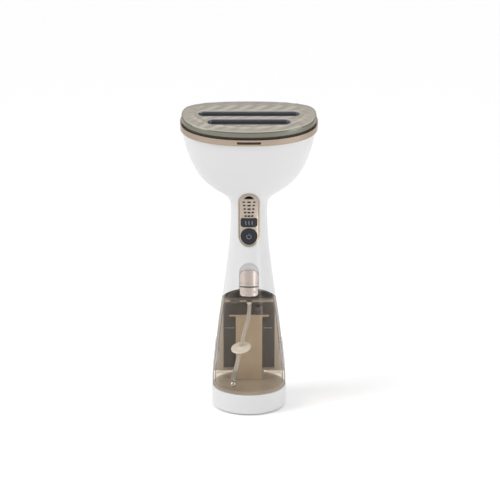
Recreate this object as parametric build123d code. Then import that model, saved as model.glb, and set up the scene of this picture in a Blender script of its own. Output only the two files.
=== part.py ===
from build123d import *
from functools import lru_cache
import math
import os

# Handheld garment steamer. Millimetres, +Z up, front towards -Y, +X to the right.
# Origin: centre of the face it stands on, under the handle's axis.

# ---- Body: radius of the round handle at each height ----
BASE_TOP = 20.5
HANDLE = [(20.5, 34.6), (45, 33.1), (70, 30.5), (92, 27.8), (110, 25.2), (128, 22.7),
          (145, 20.5), (165, 18.3), (185, 17.15), (199, 17.3)]

# ---- Head: z, half width, setback of the widest line, front reach, rear reach,
#      squareness front, squareness rear, forward tilt in degrees ----
HEAD = [(206.0, 19.4, 0.3, 18.6, 18.4, 2.0, 2.0, 1.0),
        (211.0, 25.3, 0.6, 20.6, 19.8, 2.05, 2.1, 2.0),
        (216.5, 34.0, 1.2, 23.4, 21.6, 2.1, 2.2, 3.5),
        (223.0, 41.8, 1.8, 26.4, 23.4, 2.1, 2.3, 5.0),
        (231.0, 48.2, 2.5, 29.6, 25.2, 2.15, 2.4, 7.0),
        (241.5, 53.7, 3.3, 33.2, 27.2, 2.2, 2.5, 9.0),
        (254.0, 58.4, 4.2, 36.5, 29.2, 2.25, 2.6, 11.0),
        (263.0, 60.7, 4.7, 38.4, 30.4, 2.25, 2.7, 12.0),
        (271.3, 62.6, 5.0, 40.0, 31.5, 2.25, 2.7, 12.0)]
OUTLINE_POINTS = 32
WALL = 2.6
HEAD_TILT = HEAD[-1][-1]
HEAD_Z = HEAD[-1][0]

# ---- Tank space: an arched tunnel open to the front, closed by the spine behind ----
FIT_GAP = 0.3
SPINE_Y = 8.0
ARCH_Z = 103.3
ARCH_HALF = 26.0
ARCH_RISE = 20.0
LOBE_X = 14.5
LOBE_Z = 30.0
TANK_WALL = 2.2
TANK_BOTTOM = BASE_TOP + FIT_GAP
TANK_FLOOR = 23.4
DECK_Z = 105.0
DECK_TILT = 17.0
DECK_THICK = 2.0
VALVE_AT = (8.4, 93.8)

PANEL_FRONT = 8.5
LINER_FRONT = 9.4
PANEL_BACK = 10.3
PANEL_TOP = 86.5
PLUG_AT = (-13.5, -3.0)
PLUG_R = 5.0

# ---- Head stack, measured along the tilted head's normal ----
RING_TOP = 5.9
GASKET_TOP = 8.2
SKIN_BOTTOM = 10.4
PLATE_TOP = 13.4
RING_PROUD = 1.4
SLOTS = [(5.7, 93.5, 9.6), (-11.8, 76.0, 10.6)]
BOILER_SCREWS = [(-43.5, -6), (43.5, -6), (-30, 15), (30, 15)]

# ---- Control bezel ----
BEZEL_HALF = 10.2
BEZEL_Z = (162.7, 215.3)
BEZEL_PROUD = 0.6
BEZEL_DEEP = 1.4
RECT_Z = 186.0
RECT_SIZE = (15.2, 8.3)
ROUND_Z = 172.8
ROUND_R = 7.7
BUTTON_GAP = 0.25
BUTTON_PROUD = 1.2
VENT_ROWS = 5
VENT_TOP_Z = 206.1
VENT_PITCH = 3.43

# ---- Latch, in a frame that leans back with the handle's slope ----
LATCH_LEAN = 7.1
LATCH_ORIGIN = (0, -24.05, 120.0)
LATCH_HALF = 8.8
LATCH_CREST = 2.2
LATCH_ROUND = 11.0
LATCH_CORNER = 6.5
LATCH_Z = (5.9, 20.9)
RECESS_TOP = 27.8
RECESS_DEEP = 3.2
CATCH_Z = (-3.7, 4.5)

# ---- Intake hose: a limp tube of 4 mm that hangs from the deck to the tank's floor ----
HOSE_D = 4.0
HOSE = [(0.3, -2.0, 100.4), (0.3, -2.0, 91.0), (-2.9, -4.6, 79.6), (-6.3, -8.4, 67.6),
        (-8.5, -12.0, 55.4), (-11.7, -15.4, 44.6), (-13.0, -17.0, 38.6)]
DISC_R = 9.5
DISC_NORMAL = (-0.16, -0.22, 0.96)
SINKER_R = 3.2
SINKER = (-15.0, -20.0, TANK_FLOOR + 3.3)

# ---- Inner hoses, all 4 mm outside ----
FEED = [(5.3, 19, 36), (5.3, 19, 48), (6.9, 18.6, 72), (8.5, 17.2, 98), (8.8, 15.4, 122),
        (8.6, 12.6, 141), (8.5, 9.8, 160), (8.5, 7.6, 186), (8.8, 5.4, 212), (9.0, 4.2, 238)]
PUMP_X = -3.2
PUMP_Y = 19.0
SUCTION_Z = (89, 102)
SPIGOT_Z = 109.0
SCREW_R = 1.5
CASE_SCREWS = [(-14, 134), (14, 134), (-34, 237), (34, 237)]
FOOT_SCREWS = [(-10, 19), (10, 19)]
INLET_Z = 31.0
INLET_R = 5.0


# ---------- helpers ----------

def block(x0, x1, y0, y1, z0, z1):
    """Box between two corners."""
    middle = ((x0 + x1) / 2, (y0 + y1) / 2, (z0 + z1) / 2)
    return Pos(*middle) * Box(abs(x1 - x0), abs(y1 - y0), abs(z1 - z0))


def rod(radius, start, direction, length):
    """Cylinder that starts at a point and runs along a direction."""
    place = Plane(origin=start, z_dir=direction)
    return place * Cylinder(radius, length, align=(Align.CENTER, Align.CENTER, Align.MIN))


def head_plane(height, tilt=HEAD_TILT, z=HEAD_Z):
    """Plane square to the head's normal, a height above the shell's rim."""
    lean = math.radians(tilt)
    normal = (0, -math.sin(lean), math.cos(lean))
    return Plane(origin=(0, height * normal[1], z + height * normal[2]), x_dir=(1, 0, 0), z_dir=normal)


def outline(station, grow):
    """Closed smooth curve: a rounded D whose front and rear have their own squareness."""
    _, half, setback, front, rear, square_front, square_rear, _ = station
    points = []
    for i in range(OUTLINE_POINTS):
        turn = 2 * math.pi * i / OUTLINE_POINTS
        c, s = math.cos(turn), math.sin(turn)
        reach, power = (rear, square_rear) if s > 0 else (front, square_front)
        swell = (abs(c) ** power + abs(s) ** power) ** (-1 / power)
        points.append(((half + grow) * c * swell, setback + (reach + grow) * s * swell))
    return Spline(*points, periodic=True)


def stations():
    """All sections of the body, the round handle first."""
    round_part = [(z, r, 0, r, r, 2.0, 2.0, 0.0) for z, r in HANDLE]
    return round_part + HEAD


@lru_cache
def body(grow, lift=0.0):
    """Body's whole solid, grown or shrunk sideways; the lift raises its open top."""
    wires = []
    for station in stations():
        place = head_plane(0, station[-1], station[0] + (lift if station[0] == HEAD_Z else 0))
        wires.append(Wire([(place * outline(station, grow)).edge()]))
    return Part() + Solid.make_loft(wires)


@lru_cache
def band(grow, low, high):
    """Slice of the body between two heights."""
    return body(grow) & block(-80, 80, -80, 80, low, high)


def head_slab(grow, bottom, top):
    """Slab with the head's outline between two heights of the head's stack."""
    face = make_face(head_plane(bottom) * outline(HEAD[-1], grow))
    return extrude(face, top - bottom, dir=head_plane(0).z_dir)


def tank_space(gap):
    """Tunnel that the tank slides in, and the two low lobes beside the spine."""
    back = SPINE_Y + gap
    lower = block(-70, 70, -90, back, -10, ARCH_Z)
    arch_face = Plane.XZ.offset(-back) * (Pos(0, ARCH_Z) * Ellipse(ARCH_HALF + gap, ARCH_RISE + gap))
    space = lower + extrude(arch_face, 90 + back)
    for side in (-1, 1):
        space += block(side * (LOBE_X - gap), side * 70, SPINE_Y - 1, 70, -10, LOBE_Z + gap)
    return space


def below_deck(lower_by=0.0):
    """Everything under the tank's sloping deck."""
    lean = math.radians(DECK_TILT)
    normal = (0, math.sin(lean), math.cos(lean))
    deck = Plane(origin=(0, 0, DECK_Z - lower_by), x_dir=(1, 0, 0), z_dir=normal)
    return deck * Box(160, 160, 160, align=(Align.CENTER, Align.CENTER, Align.MAX))


def latch_plane():
    """Frame of the latch: x across, y up along the handle, z outwards."""
    lean = math.radians(LATCH_LEAN)
    return Plane(origin=LATCH_ORIGIN, x_dir=(1, 0, 0), z_dir=(0, -math.cos(lean), math.sin(lean)))


def arched(half, bottom, top):
    """Upright outline with a semicircular top."""
    shoulder = top - half
    crown = Pos(0, shoulder) * Circle(half) & Pos(0, shoulder + half / 2) * Rectangle(2 * half, half)
    return Pos(0, (bottom + shoulder) / 2) * Rectangle(2 * half, shoulder - bottom) + crown


def latch_prism(half, bottom, top, inner, outer):
    """Prism of the arched outline between two depths of the latch's frame."""
    return extrude(latch_plane().offset(inner) * arched(half, bottom, top), outer - inner)


def pill(half, low, high):
    """Upright pill outline in the XZ plane."""
    return Pos(0, (low + high) / 2) * SlotOverall(high - low, 2 * half, rotation=90)


def front_prism(face, depth=60):
    """Prism from the handle's middle plane out of its front."""
    return extrude(Plane.XZ * face, depth)


def tube(points, diameter, name):
    """Round hose of straight runs joined by tangent arcs."""
    vectors = [Vector(*p) for p in points]
    radii = []
    for before, here, after in zip(vectors, vectors[1:], vectors[2:]):
        turn = math.radians((here - before).get_angle(after - here))
        shorter = min((here - before).length, (after - here).length)
        radii.append(0.45 * shorter / math.tan(turn / 2))
    path = FilletPolyline(*points, radius=radii)
    section = Plane(origin=points[0], z_dir=path % 0) * Circle(diameter / 2)
    hose = sweep(section, path=path)
    expected = math.pi * diameter ** 2 / 4 * path.length
    print(name, "radii", [round(r) for r in radii], "length", round(path.length, 1),
          "volume ratio", round(hose.volume / expected, 3))
    return hose


def coil_spring(place, radius, height, turns, wire):
    """Open compression spring that stands on a plane."""
    helix = Helix(pitch=height / turns, height=height, radius=radius)
    section = Plane(origin=helix @ 0, z_dir=helix % 0) * Circle(wire / 2)
    return place * sweep(section, path=helix, is_frenet=True)


# ---------- housing ----------

BODY = body(0)


def bezel_prism(grow):
    return front_prism(pill(BEZEL_HALF + grow, BEZEL_Z[0] - grow, BEZEL_Z[1] + grow))


def vent_face():
    """Three short slots in each row, the rows narrowing downwards, and an arch over them."""
    face = Pos(0, 207.6) * Circle(5.1) & Pos(0, 211.4) * Rectangle(12, 4.2)
    for row in range(VENT_ROWS):
        z = VENT_TOP_Z - row * VENT_PITCH
        side_x = 4.9 - 0.45 * row
        for x, width in ((-side_x, 2.4), (0, 3.6 - 0.2 * row), (side_x, 2.4)):
            face += Pos(x, z) * SlotOverall(width, 1.5)
    return face


def mode_face(grow=0.0):
    return Pos(0, RECT_Z) * RectangleRounded(RECT_SIZE[0] + 2 * grow, RECT_SIZE[1] + 2 * grow, 2.0 + grow)


def power_face(grow=0.0):
    return Pos(0, ROUND_Z) * Circle(ROUND_R + grow)


def housing():
    """White body with its walls, the floor over the tank and the spine's front wall."""
    hollow = body(-WALL, lift=1.0) - block(-60, 60, -60, 60, 0, BASE_TOP + WALL)
    hollow -= tank_space(WALL + 2.4)
    hollow -= latch_prism(LATCH_HALF + 2.3, -6, RECESS_TOP + 2.2, -RECESS_DEEP - 2.0, 20)
    for x, z in CASE_SCREWS:
        hollow -= rod(3.0, (x, -60, z), (0, 1, 0), 120)
    for x, y in FOOT_SCREWS:
        hollow -= rod(3.2, (x, y, BASE_TOP), (0, 0, 1), 6.5)
    hollow -= rod(INLET_R + 2.2, (0, 28, INLET_Z), (0, 1, 0), 12)
    solid = BODY - tank_space(FIT_GAP) - hollow
    solid -= spine_pocket()
    solid -= latch_prism(LATCH_HALF + 0.3, -8, RECESS_TOP, -RECESS_DEEP, 20)
    solid -= latch_plane() * (Pos(0, 15.1, -5) * Box(6.6, 10.4, 10))
    for x, z in CASE_SCREWS:
        solid -= rod(SCREW_R, (x, -9, z), (0, 1, 0), 60)
        solid -= rod(2.8, (x, 8, z), (0, 1, 0), 60)
    for x, y in FOOT_SCREWS:
        solid -= rod(SCREW_R, (x, y, BASE_TOP - 1), (0, 0, 1), 6.7)
    solid -= rod(INLET_R, (0, 20, INLET_Z), (0, 1, 0), 30)
    solid -= rod(6.0, (0, SPINE_Y, SPIGOT_Z), (0, 1, 0), 8)
    solid -= rod(6.0, PLUG_AT + (112,), (0, 0, 1), 16)
    return solid


def spine_pocket():
    """Shallow recess in the spine's front for the liner and the panel."""
    wide = block(-24.6, 24.6, SPINE_Y, PANEL_BACK, LOBE_Z + 2.0, 99.5)
    narrow = block(-LOBE_X + 1.6, LOBE_X - 1.6, SPINE_Y, PANEL_BACK, BASE_TOP, 60)
    return (wide + narrow) & band(-1.4, 20, 130)


HOUSING = housing()


def front_shell():
    """Front half, with openings for the bezel, the buttons and the vents."""
    shell = HOUSING & block(-80, 80, -80, 0, 0, 300)
    shell -= bezel_prism(0.05) - band(-BEZEL_DEEP, 140, 232)
    openings = vent_face() + mode_face(BUTTON_GAP + 0.1) + power_face(BUTTON_GAP + 0.1)
    return shell - front_prism(openings)


def rear_shell():
    """Rear half and the spine that runs down behind the tank."""
    return HOUSING & block(-80, 80, 0, 80, 0, 300)


def spine_panel():
    """Light panel on the spine, behind the tank, with a ledge along its top."""
    panel = block(-LOBE_X + 1.8, LOBE_X - 1.8, PANEL_FRONT, LINER_FRONT, BASE_TOP + 0.2, PANEL_TOP)
    return panel + block(-19, 19, PANEL_FRONT, LINER_FRONT, PANEL_TOP - 1.6, PANEL_TOP)


def spine_liner():
    """Dark backing that fills the spine's recess behind the panel."""
    return spine_pocket() & block(-40, 40, LINER_FRONT, PANEL_BACK, BASE_TOP + 0.2, 99.5)


# ---------- base ----------

def base_foot():
    """Round white foot under the tank, hollow from below."""
    foot = Pos(0, 0, 0.8) * Cylinder(35.4, BASE_TOP - 0.8, align=(Align.CENTER, Align.CENTER, Align.MIN))
    foot = fillet(foot.edges().group_by(Axis.Z)[0], 3.0)
    foot = fillet(foot.edges().group_by(Axis.Z)[-1], 0.8)
    foot -= rod(31.6, (0, 0, 0), (0, 0, 1), 4.6)
    foot -= rod(30.0, (0, 0, 0), (0, 0, 1), 17.5)
    for x, y in FOOT_SCREWS:
        foot -= rod(SCREW_R, (x, y, 10), (0, 0, 1), 12)
    return foot


def base_plate():
    """Disc that closes the foot."""
    return rod(31.5, (0, 0, 2.0), (0, 0, 1), 2.5)


def base_pad():
    """Rubber disc that the steamer stands on."""
    pad = rod(29.0, (0, 0, 0), (0, 0, 1), 2.0)
    return chamfer(pad.edges().group_by(Axis.Z)[0], 0.4)


def screw(start, direction, length, head_r=2.7, head_h=2.0):
    """Pan-head screw: its head sits at the start and the shank runs along the direction."""
    step = Vector(*direction).normalized()
    shank = rod(SCREW_R, start, direction, length)
    head = rod(head_r, tuple(Vector(*start) - step * head_h), direction, head_h)
    return head + shank


def foot_screws():
    return [screw((x, y, 17.5), (0, 0, 1), 8.5) for x, y in FOOT_SCREWS]


def case_screws():
    return [screw((x, 8, z), (0, -1, 0), 16) for x, z in CASE_SCREWS]


def cord_inlet():
    """Rubber bushing in the rear wall; its bore takes a 6 mm mains lead."""
    sleeve = rod(INLET_R, (0, 26.0, INLET_Z), (0, 1, 0), 7.0)
    sleeve += rod(INLET_R + 1.2, (0, 26.0, INLET_Z), (0, 1, 0), 2.0)
    return sleeve - rod(3.1, (0, 20, INLET_Z), (0, 1, 0), 20)


# ---------- head ----------

def trim_ring():
    """Metallic ring between the shell and the plate."""
    ring = head_slab(RING_PROUD, 0, RING_TOP) - head_slab(-3.0, -1, RING_TOP + 1)
    return ring - window_block(0)


def window_block(inset):
    lean = head_plane(2.9)
    pocket = lean * Box(22 - 2 * inset, 3.2, 2.4 - 2 * inset)
    front = lean.origin.Y - (HEAD[-1][3] - HEAD[-1][2] + RING_PROUD) * math.cos(math.radians(HEAD_TILT))
    drop = (HEAD[-1][3] - HEAD[-1][2] + RING_PROUD) * math.sin(math.radians(HEAD_TILT))
    return Pos(0, front - lean.origin.Y, -drop) * pocket


def ring_window():
    """Dark window strip in the front of the ring."""
    return window_block(0) & (head_slab(RING_PROUD - 0.25, 0, RING_TOP) - head_slab(-3.0, 0, RING_TOP))


def plate_gasket():
    """Dark heat-resistant gasket that carries the plate."""
    return head_slab(-0.9, RING_TOP, GASKET_TOP) - head_slab(-6.0, RING_TOP - 1, GASKET_TOP + 1)


def slot_face(entry, grow=0.0):
    v, length, width = entry
    return Pos(0, v) * SlotOverall(length + 2 * grow, width + 2 * grow)


def steam_plate():
    """Heated plate with two steam slots and a rim turned down to the gasket."""
    plate = head_slab(0, GASKET_TOP, PLATE_TOP)
    plate = fillet(plate.edges().group_by(Axis((0, 0, 0), head_plane(0).z_dir))[-1], 1.4)
    plate -= head_slab(-2.6, GASKET_TOP - 1, SKIN_BOTTOM)
    for entry in SLOTS:
        plate -= extrude(head_plane(GASKET_TOP - 1) * slot_face(entry), 8, dir=head_plane(0).z_dir)
    for x, v in BOILER_SCREWS:
        plate += extrude(head_plane(GASKET_TOP) * (Pos(x, v) * Circle(3.4)), 2.4, dir=head_plane(0).z_dir)
        plate -= extrude(head_plane(GASKET_TOP - 1) * (Pos(x, v) * Circle(SCREW_R)), 3.6, dir=head_plane(0).z_dir)
    return plate


def steam_diffuser():
    """Dark sheet under the slots, with a row of steam holes in each slot."""
    sheet = head_slab(-4.6, SKIN_BOTTOM - 1.0, SKIN_BOTTOM)
    holes = Sketch()
    for v, length, _ in SLOTS:
        count = int(length / 9)
        for i in range(count):
            holes += Pos((i - (count - 1) / 2) * 8.4, v) * Circle(1.1)
    for x, v in BOILER_SCREWS:
        holes += Pos(x, v) * Circle(3.6)
    return sheet - extrude(head_plane(SKIN_BOTTOM - 2) * holes, 4, dir=head_plane(0).z_dir)


def boiler_body():
    """Cast block with a steam chamber open to the plate."""
    boiler = head_slab(-9.4, -14.0, GASKET_TOP - 0.8) - head_slab(-12.8, -9.0, GASKET_TOP)
    boiler -= heating_element()
    for pin in heater_pins():
        boiler -= pin
    for x, v in BOILER_SCREWS:
        boiler += extrude(head_plane(-9.0) * (Pos(x, v) * Circle(3.2)), GASKET_TOP - 0.8 + 9.0,
                          dir=head_plane(0).z_dir)
    for x, v in BOILER_SCREWS:
        boiler -= extrude(head_plane(-15) * (Pos(x, v) * Circle(SCREW_R)), 26, dir=head_plane(0).z_dir)
    return boiler - rod(2.0, (9.0, 4.2, 245), (0, 0, 1), 20)


def boiler_seal():
    """Flat silicone seal between the block and the plate."""
    return head_slab(-9.8, GASKET_TOP - 0.8, GASKET_TOP) - head_slab(-12.3, 0, GASKET_TOP + 2)


def boiler_screws():
    place = head_plane(-14.0)
    screws = []
    for x, v in BOILER_SCREWS:
        start = place.from_local_coords(Vector(x, v, 0))
        screws.append(screw(tuple(start), tuple(place.z_dir), 24.5, 3.2, 2.0))
    return screws


def heating_element():
    """U-shaped tubular heater, half sunk in the underside of the block."""
    place = head_plane(-14.0)
    centre = [(-34, 8), (24, 8), (24, -10), (-34, -10)]
    local = [Vector(x, v, 0) for x, v in centre]
    points = [tuple(place.from_local_coords(p)) for p in local]
    path = FilletPolyline(*points, radius=[8.9, 8.9])
    return sweep(Plane(origin=points[0], z_dir=path % 0) * Circle(3.2), path=path)


def heater_pins():
    """Two terminal pins on the ends of the heater."""
    place = head_plane(-14.0)
    pins = []
    for v in (8, -10):
        start = place.from_local_coords(Vector(-34, v, 0))
        pins.append(rod(1.3, tuple(start), (-1, 0, 0), 6))
    return pins


def boiler_cover():
    """Insulating tray around the block's underside."""
    tray = head_slab(-6.6, -20.0, -4.0) & body(-WALL - 0.4)
    tray -= head_slab(-8.1, -18.8, -3.0) & body(-WALL - 1.6)
    tray -= head_slab(-9.1, -14.3, -3.0)
    for x, v in ((9.0, 2.0), (0, 2)):
        tray -= extrude(head_plane(-30) * (Pos(x, v) * Circle(9.0)), 14, dir=head_plane(0).z_dir)
    return tray


def thermostat():
    place = head_plane(-14.0)
    disc = extrude(place * (Pos(-8, -1) * Circle(5.5)), -3.0, dir=place.z_dir)
    return disc + extrude(place.offset(-3.0) * (Pos(-8, -1) * Rectangle(5, 8)), -1.4, dir=place.z_dir)


def thermal_fuse():
    place = head_plane(-16.2)
    return place * (Pos(-26, -1, 0) * Rot(0, 90, 0) * Cylinder(2.0, 12))


def boiler_inlet():
    """Brass nozzle that takes the feed hose."""
    return rod(2.0, (9.0, 4.2, 238.0), (0, 0, 1), 21) + rod(3.6, (9.0, 4.2, 249.6), (0, 0, 1), 3.2)


# ---------- controls ----------

def bezel():
    """Metallic pill around the vents and the buttons, with a fine groove inside its edge."""
    openings = vent_face() + mode_face(BUTTON_GAP) + power_face(BUTTON_GAP)
    frame = front_prism(pill(BEZEL_HALF, *BEZEL_Z) - openings) & band(BEZEL_PROUD, 140, 232)
    frame -= band(-BEZEL_DEEP, 140, 232)
    line = pill(BEZEL_HALF - 1.0, BEZEL_Z[0] + 1.0, BEZEL_Z[1] - 1.0)
    line -= pill(BEZEL_HALF - 1.4, BEZEL_Z[0] + 1.4, BEZEL_Z[1] - 1.4)
    return frame - (front_prism(line) - band(BEZEL_PROUD - 0.35, 140, 232))


def vent_baffle():
    """Dark sheet behind the vents."""
    return block(-7.5, 7.5, -10.6, -9.8, 190.5, 214)


def button(face, centre_z, flange):
    """Cap that follows the handle's curve, a flange behind the wall and a stem."""
    cap = front_prism(face) & band(BUTTON_PROUD, 140, 232) & block(-20, 20, -40, -11.4, 100, 240)
    return cap + flange + rod(1.8, (0, -10.4, centre_z), (0, 1, 0), 2.0)


def mode_button():
    flange = block(-8.4, 8.4, -11.6, -10.4, RECT_Z - RECT_SIZE[1] / 2, RECT_Z + RECT_SIZE[1] / 2)
    return button(mode_face(), RECT_Z, flange)


def power_button():
    flange = block(-8.4, 8.4, -11.6, -10.4, ROUND_Z - ROUND_R + 0.2, ROUND_Z + ROUND_R - 0.2)
    return button(power_face(), ROUND_Z, flange)


def control_board():
    return block(-10, 10, -5.6, -4.0, 158, 222)


def tact_switches():
    return [block(-3, 3, -7.1, -5.6, z - 3, z + 3) for z in (ROUND_Z, RECT_Z)]


def board_parts():
    """Relay, capacitor and driver on the back of the board."""
    relay = block(-7, 3, -4.0, 4.0, 196, 212)
    capacitor = rod(3.2, (-5.2, -4.0, 184), (0, 1, 0), 7)
    driver = block(-4, 4, -4.0, -1.4, 166, 176)
    return [relay, capacitor, driver]


def status_led():
    """Small lamp under the arch-shaped window of the bezel."""
    return rod(1.5, (0, -9.6, 211), (0, 1, 0), 4.0)


# ---------- latch ----------

def latch_round(inner):
    """Rounded bar whose crest stands proud of the handle."""
    crest = latch_plane()
    bar = crest * (Pos(0, 0, LATCH_CREST - LATCH_ROUND) * Rot(90, 0, 0) * Cylinder(LATCH_ROUND, 80))
    return bar & latch_prism(30, -40, 60, inner, 20)


def latch_button():
    """Sliding catch button with rounded top corners, a finger groove and a hook through the wall."""
    corner = Pos(0, (LATCH_Z[0] + LATCH_Z[1]) / 2) * Rectangle(2 * LATCH_HALF, LATCH_Z[1] - LATCH_Z[0])
    corner = fillet(corner.vertices().group_by(Axis.Y)[-1], LATCH_CORNER)
    cap = extrude(latch_plane().offset(-RECESS_DEEP + 0.3) * corner, 20) & latch_round(-20)
    groove = latch_plane() * (Pos(0, LATCH_Z[0] + 2.6, LATCH_CREST - LATCH_ROUND) * Rot(90, 0, 0)
                              * (Cylinder(LATCH_ROUND + 2, 0.9) - Cylinder(LATCH_ROUND - 0.5, 2)))
    neck = latch_plane() * (Pos(0, LATCH_Z[0] + 6.5, -4.6) * Box(5.4, 4.0, 4.0))
    carrier = latch_plane() * (Pos(0, LATCH_Z[0] + 7.0, -7.2) * Box(11, 6.0, 1.6))
    return cap - groove + neck + carrier


def latch_spring():
    """Compression spring that pushes the catch button down."""
    lean = math.radians(LATCH_LEAN)
    foot = latch_plane().from_local_coords(Vector(0, LATCH_Z[0] + 10.2, -7.4))
    place = Plane(origin=foot, z_dir=(0, math.sin(lean), math.cos(lean)))
    return coil_spring(place, 1.7, 9.0, 5, 0.6)


def spring_seat():
    """Peg plate inside the front wall, above the spring."""
    return latch_plane() * (Pos(0, LATCH_Z[0] + 20.8, -7.4) * Box(8, 1.6, 4.4))


# ---------- tank ----------

def tank_inside(gap):
    """Inside of the tank's walls, shrunk by a further gap."""
    inside = band(-TANK_WALL - gap, 20, 146) & tank_space(-TANK_WALL - gap)
    return inside & block(-70, 70, -70, 70, TANK_FLOOR, 140)


def tank_body():
    """Smoky transparent cup, open at the top, with the arched front wall."""
    shell = (band(0, 20, 146) & tank_space(0)) - block(-90, 90, -90, 90, -20, TANK_BOTTOM)
    cup = shell - (band(-TANK_WALL, 20, 146) & tank_opening())
    for side in (-1, 1):
        cup -= rod(0.9, (side * 5.5, -30, 120.5), (0, 1, 0), 12)
    cup -= rod(1.2, (VALVE_AT[0], 0, VALVE_AT[1]), (0, 1, 0), 20)
    return cup - rod(4.2, (0, SPINE_Y - 4, SPIGOT_Z), (0, 1, 0), 8)


def tank_opening():
    """Space inside the walls that runs straight out of the top."""
    space = block(-60, 60, -60, SPINE_Y - TANK_WALL, TANK_FLOOR, 150)
    for side in (-1, 1):
        lobe = block(side * (LOBE_X + TANK_WALL), side * 60, SPINE_Y - TANK_WALL - 1, 60,
                     TANK_FLOOR, LOBE_Z - TANK_WALL)
        space += lobe
    return space


def tank_lid():
    """Light moulded lid: sloping deck, rear wall, arched roof and the filler neck."""
    region = tank_inside_top(0.15)
    pocket = tank_space(-2.0) & block(-60, 60, -60, SPINE_Y - TANK_WALL - 2.0, 60, 160)
    lid = region - (pocket - below_deck(-DECK_THICK))
    lid += rod(PLUG_R + 2.2, PLUG_AT + (102,), (0, 0, 1), 24) & region
    lid -= rod(PLUG_R, PLUG_AT + (90,), (0, 0, 1), 40)
    lid -= rod(4.2, (0, -10, SPIGOT_Z), (0, 1, 0), 30)
    return lid - rod(3.0, (0.3, -2.0, 95), (0, 0, 1), 18)


def tank_inside_top(gap):
    """Part of the tank's inside above the deck, under the arch."""
    inside = band(-TANK_WALL - gap, 80, 146) & tank_space(0)
    inside = inside & block(-60, 60, -60, SPINE_Y - TANK_WALL - gap, 60, 160)
    return inside - below_deck()


def filler_plug():
    """Rubber plug in the filler neck, cut flush with the tank's roof."""
    plug = rod(PLUG_R - 0.3, PLUG_AT + (103.5,), (0, 0, 1), 30) & tank_space(-0.3)
    return plug - rod(2.6, PLUG_AT + (100,), (0, 0, 1), 12)


def outlet_elbow():
    """Elbow that takes the water from the deck back to the coupling."""
    riser = rod(2.6, (0.3, -2.0, 103.6), (0, 0, 1), 8.3)
    arm = rod(2.9, (0.3, -2.0, SPIGOT_Z), (0, 1, 0), 17.5)
    return riser + arm + rod(4.0, (0.3, 3.0, SPIGOT_Z), (0, 1, 0), 2.0)


def outlet_nipple():
    """Metal barb under the deck that carries the intake hose."""
    return rod(2.6, (0.3, -2.0, 101.8), (0, 0, 1), 1.8) + rod(1.7, (0.3, -2.0, HOSE[0][2]), (0, 0, 1), 1.4)


def vent_valve():
    """Air valve through the tank's rear wall."""
    x, z = VALVE_AT
    inner_wall = SPINE_Y - TANK_WALL
    return rod(2.2, (x, inner_wall - 1.2, z), (0, 1, 0), 1.2) + rod(1.2, (x, inner_wall, z), (0, 1, 0), TANK_WALL)


def tank_catch():
    """Metallic catch on the tank's front that the latch button meets."""
    face = Pos(0, sum(CATCH_Z) / 2) * RectangleRounded(2 * LATCH_HALF - 0.4, CATCH_Z[1] - CATCH_Z[0], 2.6)
    prism = extrude(latch_plane().offset(-8) * face, 30)
    block_top = latch_plane() * (Pos(0, CATCH_Z[1] - 2, 0) * Box(2 * LATCH_HALF - 0.4, 4, 60))
    catch = (prism + (block_top & latch_prism(30, -40, CATCH_Z[1] + 30, -8, 22))) & latch_round(-20)
    catch -= band(0, 90, 150)
    for side in (-1, 1):
        catch += rod(0.9, (side * 5.5, -27.0, 120.5), (0, 1, 0), 5.4) - block(-9, 9, -30, -25.6, 110, 130)
    return catch


def tank_grips():
    """Oval pads moulded on the tank's sides."""
    oval = extrude(Plane.YZ * (Pos(-4, 54) * Ellipse(12, 14)), 60, both=True)
    pads = (oval & band(0.9, 20, 111)) - band(0, 20, 111)
    return [solid for solid in pads.solids()]


def level_marks():
    """Raised level lines on the rear wall of the tank."""
    marks = []
    for side in (-1, 1):
        for z, inner, outer in ((74.5, 14.0, 22.5), (34.0, 13.0, 25.0)):
            marks.append(block(side * inner, side * outer, SPINE_Y - TANK_WALL - 0.4,
                               SPINE_Y - TANK_WALL, z - 0.4, z + 0.4))
    return marks


def along(a, b):
    return tuple((Vector(*b) - Vector(*a)).normalized())


def hose_disc():
    """Float disc threaded on the hose."""
    middle = Vector(*HOSE[4]) * 0.62 + Vector(*HOSE[3]) * 0.38
    place = Plane(origin=tuple(middle), z_dir=DISC_NORMAL)
    line = Vector(*along(HOSE[3], HOSE[4]))
    disc = place * (Cylinder(DISC_R, 1.8) + Cylinder(3.4, 4.2))
    disc = fillet(disc.edges().sort_by(SortBy.LENGTH)[-2:], 0.7)
    return disc - rod(HOSE_D / 2 + 0.1, tuple(middle - line * 8), tuple(line), 16)


def hose_connector():
    """Filter holder on the end of the hose."""
    direction = along(HOSE[5], HOSE[6])
    return rod(2.7, HOSE[6], direction, 7.4)


def sinker():
    """Steel ball that keeps the hose's end on the tank's floor."""
    tip = Vector(*HOSE[6]) + Vector(*along(HOSE[5], HOSE[6])) * 7.4
    ball = Pos(*SINKER) * Sphere(SINKER_R)
    stalk = rod(0.9, tuple(tip), along(tuple(tip), SINKER), (Vector(*SINKER) - tip).length)
    return ball + stalk


# ---------- water path in the spine ----------

def coupling_socket():
    """Socket in the spine that the tank's spigot slides into."""
    socket = rod(6.0, (0, SPINE_Y + 0.4, SPIGOT_Z), (0, 1, 0), 12.6)
    socket += rod(1.9, (PUMP_X, PUMP_Y, SUCTION_Z[1]), (0, 0, 1), 5.0)
    socket -= rod(3.5, (0.3, SPINE_Y, SPIGOT_Z), (0, 1, 0), 9.6)
    socket -= rod(4.6, (0.3, 11.0, SPIGOT_Z), (0, 1, 0), 2.2)
    return socket


def coupling_seal():
    """O-ring on the spigot's path."""
    return Pos(0.3, 12.1, SPIGOT_Z) * Rot(90, 0, 0) * Torus(3.75, 0.8)


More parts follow.
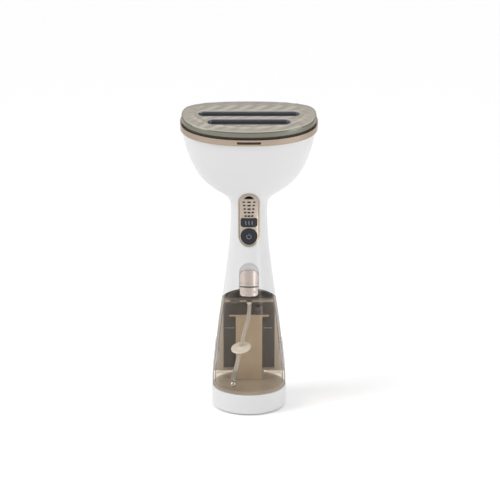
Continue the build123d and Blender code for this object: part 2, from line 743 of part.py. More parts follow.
def pump_body():
    """Solenoid pump's tube with an inlet above and an outlet below."""
    return rod(4.4, (PUMP_X, PUMP_Y, 42), (0, 0, 1), 40) + rod(2.0, (PUMP_X, PUMP_Y, 36), (0, 0, 1), 53)


def pump_coil():
    coil = block(PUMP_X - 7, PUMP_X + 6.2, PUMP_Y - 6, PUMP_Y + 6, 50, 72)
    return coil - rod(4.4, (PUMP_X, PUMP_Y, 40), (0, 0, 1), 50)


def pump_mounts():
    """Two rubber rings that hold the pump."""
    rings = []
    for z in (45, 77):
        ring = rod(5.9, (PUMP_X, PUMP_Y, z), (0, 0, 1), 3)
        rings.append(ring - rod(4.4, (PUMP_X, PUMP_Y, z - 1), (0, 0, 1), 5))
    return rings


def pump_elbow():
    """U-shaped fitting that turns the pump's outlet up into the feed hose."""
    radius = (FEED[0][0] - PUMP_X) / 2
    arc = CenterArc((0, 0), radius, 180, 180)
    path = Plane(origin=(PUMP_X + radius, PUMP_Y, 36), x_dir=(1, 0, 0), z_dir=(0, -1, 0)) * arc
    return sweep(Plane(origin=path @ 0, z_dir=path % 0) * Circle(2.4), path=path)


def suction_hose():
    """Short hose from the coupling down to the pump."""
    return rod(HOSE_D / 2, (PUMP_X, PUMP_Y, SUCTION_Z[0]), (0, 0, 1), SUCTION_Z[1] - SUCTION_Z[0])


def terminal_block():
    """Block that joins the mains lead to the inner wiring."""
    return block(-14, -6, 14.0, 19.4, 88, 100)


PARTS = {
    "front_shell": front_shell,
    "rear_shell": rear_shell,
    "spine_panel": spine_panel,
    "spine_liner": spine_liner,
    "base_foot": base_foot,
    "base_plate": base_plate,
    "base_pad": base_pad,
    "foot_screws": foot_screws,
    "case_screws": case_screws,
    "cord_inlet": cord_inlet,
    "trim_ring": trim_ring,
    "ring_window": ring_window,
    "plate_gasket": plate_gasket,
    "steam_plate": steam_plate,
    "steam_diffuser": steam_diffuser,
    "boiler_body": boiler_body,
    "boiler_seal": boiler_seal,
    "boiler_screws": boiler_screws,
    "heating_element": heating_element,
    "heater_pins": heater_pins,
    "boiler_cover": boiler_cover,
    "thermostat": thermostat,
    "thermal_fuse": thermal_fuse,
    "boiler_inlet": boiler_inlet,
    "bezel": bezel,
    "vent_baffle": vent_baffle,
    "mode_button": mode_button,
    "power_button": power_button,
    "control_board": control_board,
    "tact_switches": tact_switches,
    "board_parts": board_parts,
    "status_led": status_led,
    "latch_button": latch_button,
    "latch_spring": latch_spring,
    "spring_seat": spring_seat,
    "tank_body": tank_body,
    "tank_lid": tank_lid,
    "filler_plug": filler_plug,
    "outlet_elbow": outlet_elbow,
    "outlet_nipple": outlet_nipple,
    "vent_valve": vent_valve,
    "tank_catch": tank_catch,
    "tank_grips": tank_grips,
    "level_marks": level_marks,
    "hose_disc": hose_disc,
    "hose_connector": hose_connector,
    "sinker": sinker,
    "coupling_socket": coupling_socket,
    "coupling_seal": coupling_seal,
    "pump_body": pump_body,
    "pump_coil": pump_coil,
    "pump_mounts": pump_mounts,
    "pump_elbow": pump_elbow,
    "suction_hose": suction_hose,
    "terminal_block": terminal_block,
}

os.makedirs("parts", exist_ok=True)
for node, make in PARTS.items():
    piece = make()
    if isinstance(piece, list):
        piece = Compound(children=[Part() + solid for solid in piece])
    export_step(piece, f"parts/{node}.step")
for node, points in (("intake_hose", HOSE), ("feed_hose", FEED)):
    export_step(tube(points, HOSE_D, node), f"parts/{node}.step")
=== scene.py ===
import math

import bmesh
import bpy
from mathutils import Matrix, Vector
from mathutils.geometry import delaunay_2d_cdt


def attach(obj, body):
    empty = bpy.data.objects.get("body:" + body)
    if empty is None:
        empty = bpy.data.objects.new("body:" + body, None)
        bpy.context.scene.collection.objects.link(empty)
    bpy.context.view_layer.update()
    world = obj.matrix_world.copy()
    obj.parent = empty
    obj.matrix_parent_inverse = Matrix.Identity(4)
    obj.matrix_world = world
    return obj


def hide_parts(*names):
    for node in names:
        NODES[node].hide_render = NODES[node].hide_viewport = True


# Handheld garment steamer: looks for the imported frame. Metres, +Z up, front towards -Y.

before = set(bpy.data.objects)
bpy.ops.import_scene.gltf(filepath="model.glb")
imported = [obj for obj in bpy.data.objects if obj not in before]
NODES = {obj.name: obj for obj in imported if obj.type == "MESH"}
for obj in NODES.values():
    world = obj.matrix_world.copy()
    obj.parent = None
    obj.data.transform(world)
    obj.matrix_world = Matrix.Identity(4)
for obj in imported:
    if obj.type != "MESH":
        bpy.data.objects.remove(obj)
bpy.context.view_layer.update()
MM = 0.001

# ---------- camera ----------
CAMERA_DISTANCE = 2.0
CAMERA_ELEVATION = math.radians(17.0)
AIM = Vector((0.0, 0.0, 0.150))
LENS, SENSOR_WIDTH = 152.4, 36.0
SHIFT_X, SHIFT_Y = 0.002, 0.0083

camera_data = bpy.data.cameras.new("camera")
camera_data.lens = LENS
camera_data.sensor_width = SENSOR_WIDTH
camera_data.shift_x = SHIFT_X
camera_data.shift_y = SHIFT_Y
camera_data.clip_start = 0.05
camera_data.clip_end = 50.0
camera = bpy.data.objects.new("camera", camera_data)
bpy.context.scene.collection.objects.link(camera)
back = Vector((0, -math.cos(CAMERA_ELEVATION), math.sin(CAMERA_ELEVATION)))
camera.location = AIM + back * CAMERA_DISTANCE
camera.rotation_euler = (-back).to_track_quat("-Z", "Y").to_euler()
bpy.context.scene.camera = camera

# ---------- intake hose: a limp tube from the deck to the tank's floor ----------
HOSE_ROUTE = [(0.3, -2.0, 100.4), (0.3, -2.0, 91.0), (-2.9, -4.6, 79.6), (-6.3, -8.4, 67.6),
              (-8.5, -12.0, 55.4), (-11.7, -15.4, 44.6), (-13.0, -17.0, 38.6)]
HOSE_DIAMETER = 0.004

hose_curve = bpy.data.curves.new("intake_tube", "CURVE")
hose_curve.dimensions = "3D"
spline = hose_curve.splines.new("NURBS")
spline.points.add(len(HOSE_ROUTE) - 1)
for point, (x, y, z) in zip(spline.points, HOSE_ROUTE):
    point.co = (x * MM, y * MM, z * MM, 1.0)
spline.order_u = 3
spline.use_endpoint_u = True
spline.resolution_u = 16
hose_curve.bevel_depth = HOSE_DIAMETER / 2
hose_curve.bevel_resolution = 6
hose_curve.use_fill_caps = True
hose = bpy.data.objects.new("intake_tube", hose_curve)
bpy.context.scene.collection.objects.link(hose)


# ---------- materials ----------

def link(tree, a, out, b, into):
    tree.links.new(a.outputs[out], b.inputs[into])


def new_material(name):
    mat = bpy.data.materials.new(name)
    mat.use_nodes = True
    tree = mat.node_tree
    tree.nodes.clear()
    output = tree.nodes.new("ShaderNodeOutputMaterial")
    shader = tree.nodes.new("ShaderNodeBsdfPrincipled")
    link(tree, shader, "BSDF", output, "Surface")
    return mat, tree, shader, output


def noise(tree, coords, scale, detail=3.0, stretch=None):
    texture = tree.nodes.new("ShaderNodeTexNoise")
    texture.inputs["Scale"].default_value = scale
    texture.inputs["Detail"].default_value = detail
    if stretch is None:
        link(tree, coords, "Object", texture, "Vector")
        return texture
    mapping = tree.nodes.new("ShaderNodeMapping")
    mapping.inputs["Scale"].default_value = stretch
    link(tree, coords, "Object", mapping, "Vector")
    link(tree, mapping, "Vector", texture, "Vector")
    return texture


def surface(name, colour, rough=0.4, metallic=0.0, coat=0.0, vary=0.04, patch=35.0, grain=900.0,
            bump=0.04, rough_vary=0.08, stretch=None, specular=0.5):
    """Colour that varies a little, roughness that varies, and a fine grain, all from noise."""
    mat, tree, shader, _ = new_material(name)
    coords = tree.nodes.new("ShaderNodeTexCoord")
    large = noise(tree, coords, patch)
    ramp = tree.nodes.new("ShaderNodeValToRGB")
    ramp.color_ramp.elements[0].position = 0.3
    ramp.color_ramp.elements[1].position = 0.7
    ramp.color_ramp.elements[0].color = [max(0.0, c * (1 - vary)) for c in colour] + [1]
    ramp.color_ramp.elements[1].color = [min(1.0, c * (1 + vary)) for c in colour] + [1]
    link(tree, large, "Fac", ramp, "Fac")
    link(tree, ramp, "Color", shader, "Base Color")
    fine = noise(tree, coords, grain, 2.0, stretch)
    spread = tree.nodes.new("ShaderNodeMapRange")
    spread.inputs["To Min"].default_value = max(0.02, rough - rough_vary)
    spread.inputs["To Max"].default_value = min(1.0, rough + rough_vary)
    link(tree, fine, "Fac", spread, "Value")
    link(tree, spread, "Result", shader, "Roughness")
    height = tree.nodes.new("ShaderNodeBump")
    height.inputs["Strength"].default_value = bump
    height.inputs["Distance"].default_value = 0.0002
    link(tree, fine, "Fac", height, "Height")
    link(tree, height, "Normal", shader, "Normal")
    shader.inputs["Metallic"].default_value = metallic
    shader.inputs["Coat Weight"].default_value = coat
    shader.inputs["Coat Roughness"].default_value = 0.08
    shader.inputs["Specular IOR Level"].default_value = specular
    return mat


# Facing values, 0 square on and 1 edge on, between which see-through plastic darkens,
# and how its mirror grows towards the edge.
EDGE_FROM, EDGE_TO = 0.72, 0.94
MIRROR_POWER, MIRROR_AT_EDGE = 3.5, 0.32


def through_colour(tree, rim, colour, edge, vary):
    """Tint that varies a little and turns to the edge colour where the wall is seen edge on."""
    coords = tree.nodes.new("ShaderNodeTexCoord")
    large = noise(tree, coords, 30.0)
    ramp = tree.nodes.new("ShaderNodeValToRGB")
    ramp.color_ramp.elements[0].color = [c * (1 - vary) for c in colour] + [1]
    ramp.color_ramp.elements[1].color = [min(1.0, c * (1 + vary)) for c in colour] + [1]
    link(tree, large, "Fac", ramp, "Fac")
    depth = tree.nodes.new("ShaderNodeValToRGB")
    depth.color_ramp.elements[0].position = EDGE_FROM
    depth.color_ramp.elements[0].color = (1, 1, 1, 1)
    depth.color_ramp.elements[1].position = EDGE_TO
    depth.color_ramp.elements[1].color = list(edge) + [1]
    link(tree, rim, "Facing", depth, "Fac")
    thick = tree.nodes.new("ShaderNodeMix")
    thick.data_type = "RGBA"
    thick.blend_type = "MULTIPLY"
    thick.inputs["Factor"].default_value = 1.0
    colour_a, colour_b, colour_out = thick.inputs[6], thick.inputs[7], thick.outputs[2]
    tree.links.new(ramp.outputs["Color"], colour_a)
    tree.links.new(depth.outputs["Color"], colour_b)
    return colour_out


def mirror_share(tree, rim, mirror):
    """Share of the mirror in the mix, small square on and larger at the edge."""
    power = tree.nodes.new("ShaderNodeMath")
    power.operation = "POWER"
    power.inputs[1].default_value = MIRROR_POWER
    link(tree, rim, "Facing", power, "Value")
    share = tree.nodes.new("ShaderNodeMapRange")
    share.inputs["To Min"].default_value = mirror
    share.inputs["To Max"].default_value = MIRROR_AT_EDGE
    link(tree, power, "Value", share, "Value")
    return share


def tinted(name, colour, gloss_rough, haze, mirror, edge, vary=0.05):
    """See-through plastic: a tinted view through it, a little haze and a mirror on top."""
    mat, tree, shader, output = new_material(name)
    rim = tree.nodes.new("ShaderNodeLayerWeight")
    rim.inputs["Blend"].default_value = 0.5
    clear = tree.nodes.new("ShaderNodeBsdfTransparent")
    tree.links.new(through_colour(tree, rim, colour, edge, vary), clear.inputs["Color"])
    shader.inputs["Base Color"].default_value = [c * 0.8 for c in colour] + [1]
    shader.inputs["Roughness"].default_value = gloss_rough
    hazy = tree.nodes.new("ShaderNodeMixShader")
    hazy.inputs["Fac"].default_value = haze
    link(tree, clear, "BSDF", hazy, 1)
    link(tree, shader, "BSDF", hazy, 2)
    gloss = tree.nodes.new("ShaderNodeBsdfGlossy")
    gloss.inputs["Roughness"].default_value = gloss_rough
    glossy = tree.nodes.new("ShaderNodeMixShader")
    link(tree, mirror_share(tree, rim, mirror), "Result", glossy, "Fac")
    link(tree, hazy, "Shader", glossy, 1)
    link(tree, gloss, "BSDF", glossy, 2)
    link(tree, glossy, "Shader", output, "Surface")
    return mat


WHITE = surface("white_abs", (0.70, 0.70, 0.70), rough=0.36, coat=0.25, vary=0.008, bump=0.03)
INNER = surface("inner_white", (0.70, 0.70, 0.69), rough=0.5, vary=0.02)
GOLD = surface("satin_gold", (0.39, 0.315, 0.25), rough=0.3, metallic=0.95, vary=0.03, bump=0.05,
               stretch=(0.15, 0.15, 4.0))
CHAMPAGNE = surface("champagne_metal", (0.44, 0.375, 0.315), rough=0.24, metallic=0.95, vary=0.03,
                    bump=0.02, stretch=(5.0, 5.0, 0.15))
ROSE = surface("rose_metal", (0.60, 0.52, 0.475), rough=0.3, metallic=0.8, vary=0.02,
               bump=0.02)
PLATE = surface("plate_coating", (0.57, 0.525, 0.445), rough=0.2, metallic=0.85, vary=0.04,
                patch=60.0, bump=0.02, rough_vary=0.04)
PANEL = surface("champagne_panel", (0.80, 0.755, 0.68), rough=0.45, metallic=0.1, vary=0.04)
LINER = surface("dark_liner", (0.030, 0.022, 0.016), rough=0.5, vary=0.1)
BLACK = surface("black_rubber", (0.02, 0.02, 0.02), rough=0.6, vary=0.15)
GREY_RUBBER = surface("grey_rubber", (0.16, 0.16, 0.16), rough=0.6, vary=0.08)
GASKET = surface("dark_gasket", (0.06, 0.045, 0.035), rough=0.5, vary=0.1)
SILICONE = surface("red_silicone", (0.45, 0.12, 0.08), rough=0.5, vary=0.05)
WINDOW = surface("window_brown", (0.045, 0.022, 0.012), rough=0.4, specular=0.2, vary=0.1)
DARK_METAL = surface("dark_metal", (0.055, 0.055, 0.065), rough=0.35, metallic=0.6, vary=0.1)
CAST = surface("cast_aluminium", (0.55, 0.55, 0.56), rough=0.5, metallic=0.9, vary=0.06, bump=0.25,
               grain=500.0)
STEEL = surface("steel", (0.62, 0.62, 0.63), rough=0.22, metallic=1.0, vary=0.03)
BRASS = surface("brass", (0.60, 0.43, 0.17), rough=0.3, metallic=1.0, vary=0.05)
COPPER = surface("copper", (0.62, 0.28, 0.14), rough=0.35, metallic=1.0, vary=0.05,
                 stretch=(0.2, 0.2, 3.0))
INSULATOR = surface("insulator", (0.60, 0.57, 0.50), rough=0.7, vary=0.08, bump=0.2)
BUTTON = surface("button_dark", (0.02, 0.022, 0.027), rough=0.3, coat=0.1, specular=0.25, vary=0.1)
BOARD = surface("board_green", (0.03, 0.14, 0.06), rough=0.4, vary=0.2, patch=300.0)
PART_BLACK = surface("component_black", (0.03, 0.03, 0.03), rough=0.4, vary=0.1)
LED = surface("lamp_lens", (0.75, 0.80, 0.85), rough=0.15, coat=0.6, vary=0.02)
LID = surface("lid_grey", (0.11, 0.095, 0.08), rough=0.4, vary=0.04)
DISC = surface("float_disc", (0.93, 0.93, 0.90), rough=0.45, vary=0.04)
CONNECTOR = surface("connector_grey", (0.30, 0.32, 0.29), rough=0.4, vary=0.06)
MARK = surface("printed_mark", (0.24, 0.245, 0.26), rough=0.5, vary=0.03)
# Darker copy of the plate's metal for its rounded edge, sides and skirt: painted shade that stands
# in for the dark reflection on these faces.
RIM_PAINTED_SHADE = surface("plate_rim_painted_shade", (0.20, 0.20, 0.165), rough=0.3, metallic=0.75, vary=0.05,
              bump=0.02)
SLOT_WALL = surface("slot_wall", (0.42, 0.42, 0.45), rough=0.3, metallic=0.8, vary=0.06)
SMOKE = tinted("smoky_clear", (0.93, 0.90, 0.86), 0.04, 0.005, 0.02,
               edge=(0.10, 0.07, 0.045))
GRIP = tinted("grip_clear", (0.97, 0.965, 0.955), 0.2, 0.02, 0.05, edge=(0.5, 0.46, 0.42))
HOSE_CLEAR = tinted("hose_clear", (0.92, 0.92, 0.90), 0.12, 0.6, 0.08, edge=(0.7, 0.7, 0.68))

# Each material, and the CAD nodes that wear it.
LOOKS = [
    (WHITE, "front_shell rear_shell base_foot"),
    (INNER, "spring_seat coupling_socket"),
    (GOLD, "trim_ring"),
    (CHAMPAGNE, "bezel"),
    (ROSE, "latch_button tank_catch"),
    (PLATE, "steam_plate"),
    (PANEL, "spine_panel"),
    (LINER, "spine_liner vent_baffle"),
    (BLACK, "base_pad cord_inlet coupling_seal"),
    (GREY_RUBBER, "filler_plug pump_mounts"),
    (GASKET, "plate_gasket"),
    (SILICONE, "boiler_seal"),
    (WINDOW, "ring_window"),
    (DARK_METAL, "steam_diffuser"),
    (CAST, "boiler_body"),
    (STEEL, "foot_screws case_screws boiler_screws heater_pins heating_element latch_spring"
     " outlet_nipple sinker pump_body thermostat"),
    (BRASS, "boiler_inlet"),
    (COPPER, "pump_coil"),
    (INSULATOR, "boiler_cover"),
    (BUTTON, "mode_button power_button"),
    (BOARD, "control_board"),
    (PART_BLACK, "board_parts tact_switches thermal_fuse terminal_block pump_elbow"
     " base_plate"),
    (LED, "status_led"),
    (LID, "tank_lid outlet_elbow vent_valve"),
    (DISC, "hose_disc"),
    (CONNECTOR, "hose_connector"),
    (MARK, "level_marks"),
    (SMOKE, "tank_body"),
    (GRIP, "tank_grips"),
    (HOSE_CLEAR, "intake_hose feed_hose suction_hose"),
]


def dress(obj, mat):
    obj.data.materials.clear()
    obj.data.materials.append(mat)


for mat, names in LOOKS:
    for name in names.split():
        dress(NODES[name], mat)

# ---------- heated plate: quilted face, chamfered slots, rear bevel ----------
HEAD_ORIGIN = Vector((0, 0, 271.3))
HEAD_TILT = math.radians(12.0)
HEAD_NORMAL = Vector((0, -math.sin(HEAD_TILT), math.cos(HEAD_TILT)))
HEAD_ALONG = Vector((0, math.cos(HEAD_TILT), math.sin(HEAD_TILT)))
HEAD_HALF, HEAD_SETBACK, HEAD_FRONT, HEAD_REAR = 62.6, 5.0, 40.0, 31.5
SQUARE_FRONT, SQUARE_REAR = 2.25, 2.7
PLATE_LOW, SKIN_LOW, PLATE_TOP, PLATE_ROUND, SKIRT = 8.2, 10.4, 13.4, 1.4, 2.6
SLOTS = [(5.7, 93.5, 9.6), (-11.8, 76.0, 10.6)]  # middle, length and width
SLOT_CHAMFER, SLOT_LIP = 0.9, 0.2
CHAMFER_DROP, LIP_DROP = 0.9, 0.35
OUTLINE_COUNT = 180
GRID = 1.25
GRID_HALF_U, GRID_HALF_V, GRID_TURN_V = 65, 38, -37
# Material slots of the plate; the rim slot wears the darker rim metal, which is painted shade.
COATED, WALL_SIDE, RIM_SIDE = 0, 1, 2


def head_point(u, v, w):
    """From the head's own frame, in millimetres, to the scene, in metres."""
    return (HEAD_ORIGIN + Vector((u, 0, 0)) + HEAD_ALONG * v + HEAD_NORMAL * w) * MM


def d_outline(grow):
    """The head's outline, grown outwards."""
    points = []
    for i in range(OUTLINE_COUNT):
        turn = 2 * math.pi * i / OUTLINE_COUNT
        c, s = math.cos(turn), math.sin(turn)
        reach, power = (HEAD_REAR, SQUARE_REAR) if s > 0 else (HEAD_FRONT, SQUARE_FRONT)
        swell = (abs(c) ** power + abs(s) ** power) ** (-1 / power)
        points.append(((HEAD_HALF + grow) * c * swell, HEAD_SETBACK + (reach + grow) * s * swell))
    return points


def stadium(entry, grow, cap=14, run=36):
    """Closed outline of a slot."""
    v, length, width = entry
    half, radius = (length - width) / 2, width / 2 + grow
    points = []
    for side, start in ((1, -90), (-1, 90)):
        for i in range(cap + 1):
            turn = math.radians(start + 180 * i / cap)
            points.append((side * half + radius * math.cos(turn), v + radius * math.sin(turn)))
        for i in range(1, run):
            points.append((side * half * (1 - 2 * i / run), v + side * radius))
    return points


def in_outline(u, v, grow):
    reach, power = (HEAD_REAR, SQUARE_REAR) if v > HEAD_SETBACK else (HEAD_FRONT, SQUARE_FRONT)
    a = abs(u) / (HEAD_HALF + grow)
    b = abs(v - HEAD_SETBACK) / (reach + grow)
    return a ** power + b ** power < 1


QUILT_PITCH, QUILT_SLANT, QUILT_DEPTH = 14.6, 0.95, 0.28
QUILT_HALF, QUILT_MIDDLE, QUILT_REACH, QUILT_FADE = 58, 3, 32, 6
FAN_FROM, FAN_CENTRE, FAN_TURNS, FAN_SHARE = 46, (40, 2), 2.2, 0.3
CALM_WIDTH = 1.2
ISLAND = (0.0, 7.0, 52.0, 31.0)  # middle and half axes of the raised line's ellipse
RIDGE_HEIGHT, RIDGE_WIDTH, RIDGE_BACK = 0.45, 1.1, 9
RIDGE_FADE, RIDGE_OFFSET = 8, 0.6
BEVEL_START, BEVEL_BOW, BEVEL_SLOPE, BEVEL_SPAN = 25.0, 3.0, 0.15, 50
CREST = 0.96


def unit(x):
    return min(1.0, max(0.0, x))


def rounded_wave(x):
    """Triangle wave with softened crests."""
    return math.asin(CREST * math.sin(2 * math.pi * x)) / math.asin(CREST)


def slot_distance(u, v, entry):
    """Distance from a slot's wall, in the plate's plane."""
    middle, length, width = entry
    half = (length - width) / 2
    return math.hypot(u - max(-half, min(half, u)), v - middle) - width / 2


def in_stadium(u, v, entry, grow):
    return slot_distance(u, v, entry) < grow


def quilt(u, v):
    """Slanted waves on the plate, which fan out around its two ends."""
    slant, depth = (u - QUILT_SLANT * v) / QUILT_PITCH, QUILT_DEPTH
    if abs(u) > FAN_FROM:
        side = 1 if u > 0 else -1
        slant = math.atan2(v - FAN_CENTRE[1], (abs(u) - FAN_CENTRE[0]) * side) * FAN_TURNS
        depth = QUILT_DEPTH * FAN_SHARE
    reach = max(abs(u) / QUILT_HALF, abs(v - QUILT_MIDDLE) / QUILT_REACH)
    return depth * rounded_wave(slant) * unit((1 - reach) * QUILT_FADE)


def raised_line(u, v):
    """Thin curved line in front of the slots, which fades out at the plate's outline."""
    if v >= RIDGE_BACK:
        return 0.0
    cu, cv, a, b = ISLAND
    ring = (math.hypot((u - cu) / a, (v - cv) / b) - 1) * b
    across = (abs(u) / HEAD_HALF) ** SQUARE_FRONT
    along = (max(0.0, HEAD_SETBACK - v) / HEAD_FRONT) ** SQUARE_FRONT
    fade = unit((1 - across - along) * RIDGE_FADE - RIDGE_OFFSET)
    return RIDGE_HEIGHT * math.exp(-(ring / RIDGE_WIDTH) ** 2) * fade


def plate_height(u, v):
    """Height of the quilted face over the plate's flat top."""
    near = min(slot_distance(u, v, entry) for entry in SLOTS)
    calm = unit((near - SLOT_CHAMFER) / CALM_WIDTH)
    bevel = v - (BEVEL_START - BEVEL_BOW * (u / BEVEL_SPAN) ** 2)
    return (quilt(u, v) + raised_line(u, v)) * calm - max(0.0, bevel) * BEVEL_SLOPE


def add_object(name, mesh):
    obj = bpy.data.objects.new(name, mesh)
    bpy.context.scene.collection.objects.link(obj)
    return obj


def filled(work, loops, inner, height):
    """Triangulated face between an outer loop and holes, with inner points.

    Returns each loop's verts."""
    flat, edges, spans = [], [], []
    for loop in loops:
        start = len(flat)
        flat += [Vector(p) for p in loop]
        edges += [(start + i, start + (i + 1) % len(loop)) for i in range(len(loop))]
        spans.append((start, len(loop)))
    flat += [Vector(p) for p in inner]
    points, _, faces, origins, _, _ = delaunay_2d_cdt(flat, edges, [], 0, 1e-5)
    verts = [work.verts.new(head_point(p.x, p.y, height(p.x, p.y))) for p in points]
    made = {}
    for index, origin in enumerate(origins):
        for o in origin:
            made[o] = verts[index]
    for face in faces:
        u = sum(points[i].x for i in face) / len(face)
        v = sum(points[i].y for i in face) / len(face)
        hole = SLOT_CHAMFER if inner else 0.0
        if not any(in_stadium(u, v, entry, hole) for entry in SLOTS):
            work.faces.new([verts[i] for i in face])
    return [[made[start + i] for i in range(count)] for start, count in spans]


def bridge(work, loop, points, height, material_index=0):
    """Ring of faces from a loop of verts to new points."""
    fresh = [work.verts.new(head_point(u, v, height(u, v))) for u, v in points]
    bridge_verts(work, loop, fresh, material_index)
    return fresh


def bridge_verts(work, loop, fresh, material_index=0):
    count = len(loop)
    for i in range(count):
        j = (i + 1) % count
        face = work.faces.new([loop[i], loop[j], fresh[j], fresh[i]])
        face.material_index = material_index


def grid_points():
    """Staggered points on the plate's top, clear of its rim and slots."""
    inner = []
    for i in range(int(2 * GRID_HALF_U / GRID)):
        for j in range(int(2 * GRID_HALF_V / GRID)):
            u = -GRID_HALF_U + (i + 0.5 * (j % 2)) * GRID
            v = GRID_TURN_V + j * GRID
            clear = not any(in_stadium(u, v, entry, SLOT_CHAMFER + 0.6) for entry in SLOTS)
            if in_outline(u, v, -PLATE_ROUND - 0.7) and clear:
                inner.append((u, v))
    return inner


def plate_sides(work, loop):
    """Rounded edge, side and skirt, down from the top's outer loop."""
    rim = d_outline(-PLATE_ROUND)
    for k in range(1, 6):
        turn = math.radians(18 * k)
        grow = -PLATE_ROUND * (1 - math.sin(turn))
        drop = PLATE_ROUND * (1 - math.cos(turn))
        points = d_outline(grow)
        heights = {p: PLATE_TOP - drop + plate_height(*r) for p, r in zip(points, rim)}
        # The outer turns of the rounded edge, the side and the skirt take the rim slot with its
        # painted shade.
        loop = bridge(work, loop, points, lambda u, v: heights[(u, v)],
                      RIM_SIDE if k > 2 else COATED)
    loop = bridge(work, loop, d_outline(0), lambda u, v: PLATE_LOW, RIM_SIDE)
    return bridge(work, loop, d_outline(-SKIRT), lambda u, v: PLATE_LOW, RIM_SIDE)


def build_plate():
    work = bmesh.new()
    top_loops = [d_outline(-PLATE_ROUND)] + [stadium(entry, SLOT_CHAMFER) for entry in SLOTS]
    tops = filled(work, top_loops, grid_points(), lambda u, v: PLATE_TOP + plate_height(u, v))
    skirt = plate_sides(work, tops[0])
    low_loops = [d_outline(-SKIRT)] + [stadium(entry, 0) for entry in SLOTS]
    under = filled(work, low_loops, [], lambda u, v: SKIN_LOW)
    bridge_verts(work, skirt, under[0])
    for entry, top, low in zip(SLOTS, tops[1:], under[1:]):
        edge = bridge(work, top, stadium(entry, SLOT_LIP), lambda u, v: PLATE_TOP - LIP_DROP,
                      WALL_SIDE)
        edge = bridge(work, edge, stadium(entry, 0), lambda u, v: PLATE_TOP - CHAMFER_DROP,
                      WALL_SIDE)
        bridge_verts(work, edge, low, WALL_SIDE)
    bmesh.ops.recalc_face_normals(work, faces=work.faces)
    mesh = bpy.data.meshes.new("quilted_plate")
    work.to_mesh(mesh)
    work.free()
    mesh.polygons.foreach_set("use_smooth", [True] * len(mesh.polygons))
    mesh.set_sharp_from_angle(angle=math.radians(38))
    for mat in (PLATE, SLOT_WALL, RIM_PAINTED_SHADE):
        mesh.materials.append(mat)
    return add_object("quilted_plate", mesh)


plate = build_plate()
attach(plate, "housing")
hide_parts("steam_plate")

# ---------- plain printed marks on the two buttons ----------
MARK_THICK = 0.00012


def on_front(node, x, z):
    """Point on a node's front surface, under a point of the XZ plane given in millimetres."""
    hit, place, _, _ = NODES[node].ray_cast(Vector((x * MM, -0.08, z * MM)), Vector((0, 1, 0)))
    if not hit:
        raise ValueError(f"no surface of {node} at {x}, {z}")
    return place


def ribbon(work, node, line, width):
    """Thin printed line along points of the XZ plane."""
    rows = []
    for i, (x, z) in enumerate(line):
        before, after = line[max(0, i - 1)], line[min(len(line) - 1, i + 1)]
        along = Vector((after[0] - before[0], after[1] - before[1])).normalized()
        side = Vector((-along.y, along.x)) * width / 2
        row = []
        for lift in (-MARK_THICK, MARK_THICK / 2):
            for sign in (1, -1):
                place = on_front(node, x + sign * side.x, z + sign * side.y)
                row.append(work.verts.new(place - Vector((0, lift, 0))))
        rows.append([row[0], row[1], row[3], row[2]])
    for a, b in zip(rows, rows[1:]):
        for k in range(4):
            work.faces.new([a[k], a[(k + 1) % 4], b[(k + 1) % 4], b[k]])
    work.faces.new(rows[0][::-1])
    work.faces.new(rows[-1])


def printed(name, node, body, lines, width):
    work = bmesh.new()
    for line in lines:
        ribbon(work, node, line, width)
    bmesh.ops.recalc_face_normals(work, faces=work.faces)
    mesh = bpy.data.meshes.new(name)
    work.to_mesh(mesh)
    work.free()
    mesh.materials.append(MARK)
    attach(add_object(name, mesh), body)


ROUND_Z, RECT_Z = 172.8, 186.0  # middles of the round and the oblong button
ARC_RADIUS, STROKE = 2.1, 0.5
arc = [(ARC_RADIUS * math.sin(math.radians(a)), ROUND_Z + ARC_RADIUS * math.cos(math.radians(a)))
       for a in range(40, 321, 10)]
bar = [(0, ROUND_Z + 0.6), (0, ROUND_Z + 1.6), (0, ROUND_Z + 2.8)]
printed("power_mark", "power_button", "power_button", [arc, bar], STROKE)
waves = [[(x + 0.45 * math.sin(t * 1.05), RECT_Z - 1.8 + 0.3 * t) for t in range(13)]
         for x in (-3.0, 0.0, 3.0)]
printed("steam_mark", "mode_button", "mode_button", waves, STROKE)

# ---------- intake hose: its material, carried by the tank, the CAD hose hidden ---
hose_curve.materials.append(HOSE_CLEAR)
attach(hose, "tank")
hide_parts("intake_hose")

# ---------- stage ----------

def plane(name, size, mat):
    """Level square on the ground."""
    mesh = bpy.data.meshes.new(name)
    work = bmesh.new()
    bmesh.ops.create_grid(work, x_segments=1, y_segments=1, size=size)
    work.to_mesh(mesh)
    work.free()
    mesh.materials.append(mat)
    add_object(name, mesh)


FLOOR = surface("floor_white", (0.96, 0.96, 0.96), rough=0.8, vary=0.004, specular=0.1)
floor_shader = next(n for n in FLOOR.node_tree.nodes if n.type == "BSDF_PRINCIPLED")
floor_shader.inputs["Emission Color"].default_value = (1, 1, 1, 1)
floor_shader.inputs["Emission Strength"].default_value = 0.09
plane("floor", 6.0, FLOOR)


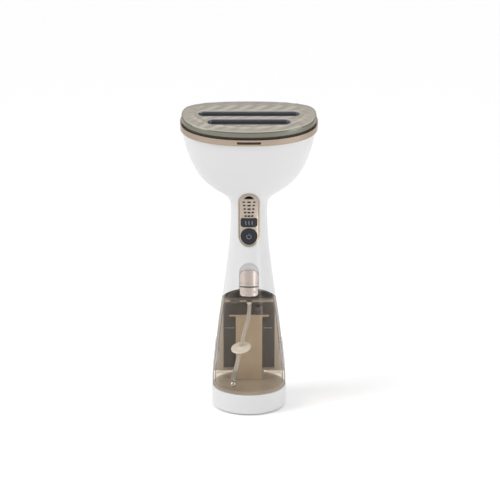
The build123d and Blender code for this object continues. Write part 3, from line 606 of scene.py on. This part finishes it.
def strip_light(name, location, target, size, size_y, power):
    """Tall soft light whose face looks at the target."""
    data = bpy.data.lights.new(name, "AREA")
    data.shape = "RECTANGLE"
    data.size = size
    data.size_y = size_y
    data.energy = power
    light = bpy.data.objects.new(name, data)
    bpy.context.scene.collection.objects.link(light)
    light.location = location
    direction = Vector(target) - Vector(location)
    light.rotation_euler = direction.to_track_quat("-Z", "Y").to_euler()


strip_light("strip_right", (0.62, -0.46, 0.42), (0, 0, 0.12), 0.20, 0.85, 1.8)
strip_light("strip_left", (-0.70, -0.50, 0.50), (0, 0, 0.16), 0.22, 0.75, 1.0)

sun_data = bpy.data.lights.new("key", "SUN")
sun_data.energy = 0.95
sun_data.angle = math.radians(24)
sun = bpy.data.objects.new("key", sun_data)
bpy.context.scene.collection.objects.link(sun)
sun.rotation_euler = Vector((1.0, 0.35, -0.95)).to_track_quat("-Z", "Y").to_euler()

def smooth_range(tree, split, axis, start, end, low, high):
    """Smooth change of a value along one axis of the view direction."""
    change = tree.nodes.new("ShaderNodeMapRange")
    change.interpolation_type = "SMOOTHSTEP"
    for key, value in (("From Min", start), ("From Max", end), ("To Min", low), ("To Max", high)):
        change.inputs[key].default_value = value
    link(tree, split, axis, change, "Value")
    return change


# White studio, darker in front of the object and brighter high up, which the metal mirrors.
world = bpy.data.worlds.new("studio")
bpy.context.scene.world = world
world.use_nodes = True
world_tree = world.node_tree
direction = world_tree.nodes.new("ShaderNodeTexCoord")
split = world_tree.nodes.new("ShaderNodeSeparateXYZ")
link(world_tree, direction, "Generated", split, "Vector")
dim = smooth_range(world_tree, split, "Y", -1.0, -0.5, 0.22, 0.66)
lift = smooth_range(world_tree, split, "Z", 0.52, 0.80, 0.80, 1.45)
both = world_tree.nodes.new("ShaderNodeMath")
both.operation = "MULTIPLY"
link(world_tree, dim, "Result", both, 0)
link(world_tree, lift, "Result", both, 1)
background = world_tree.nodes["Background"]
link(world_tree, both, "Value", background, "Strength")
background.inputs["Color"].default_value = (1, 1, 1, 1)
bpy.context.scene.view_settings.view_transform = "Standard"
bpy.context.scene.cycles.transparent_max_bounces = 32
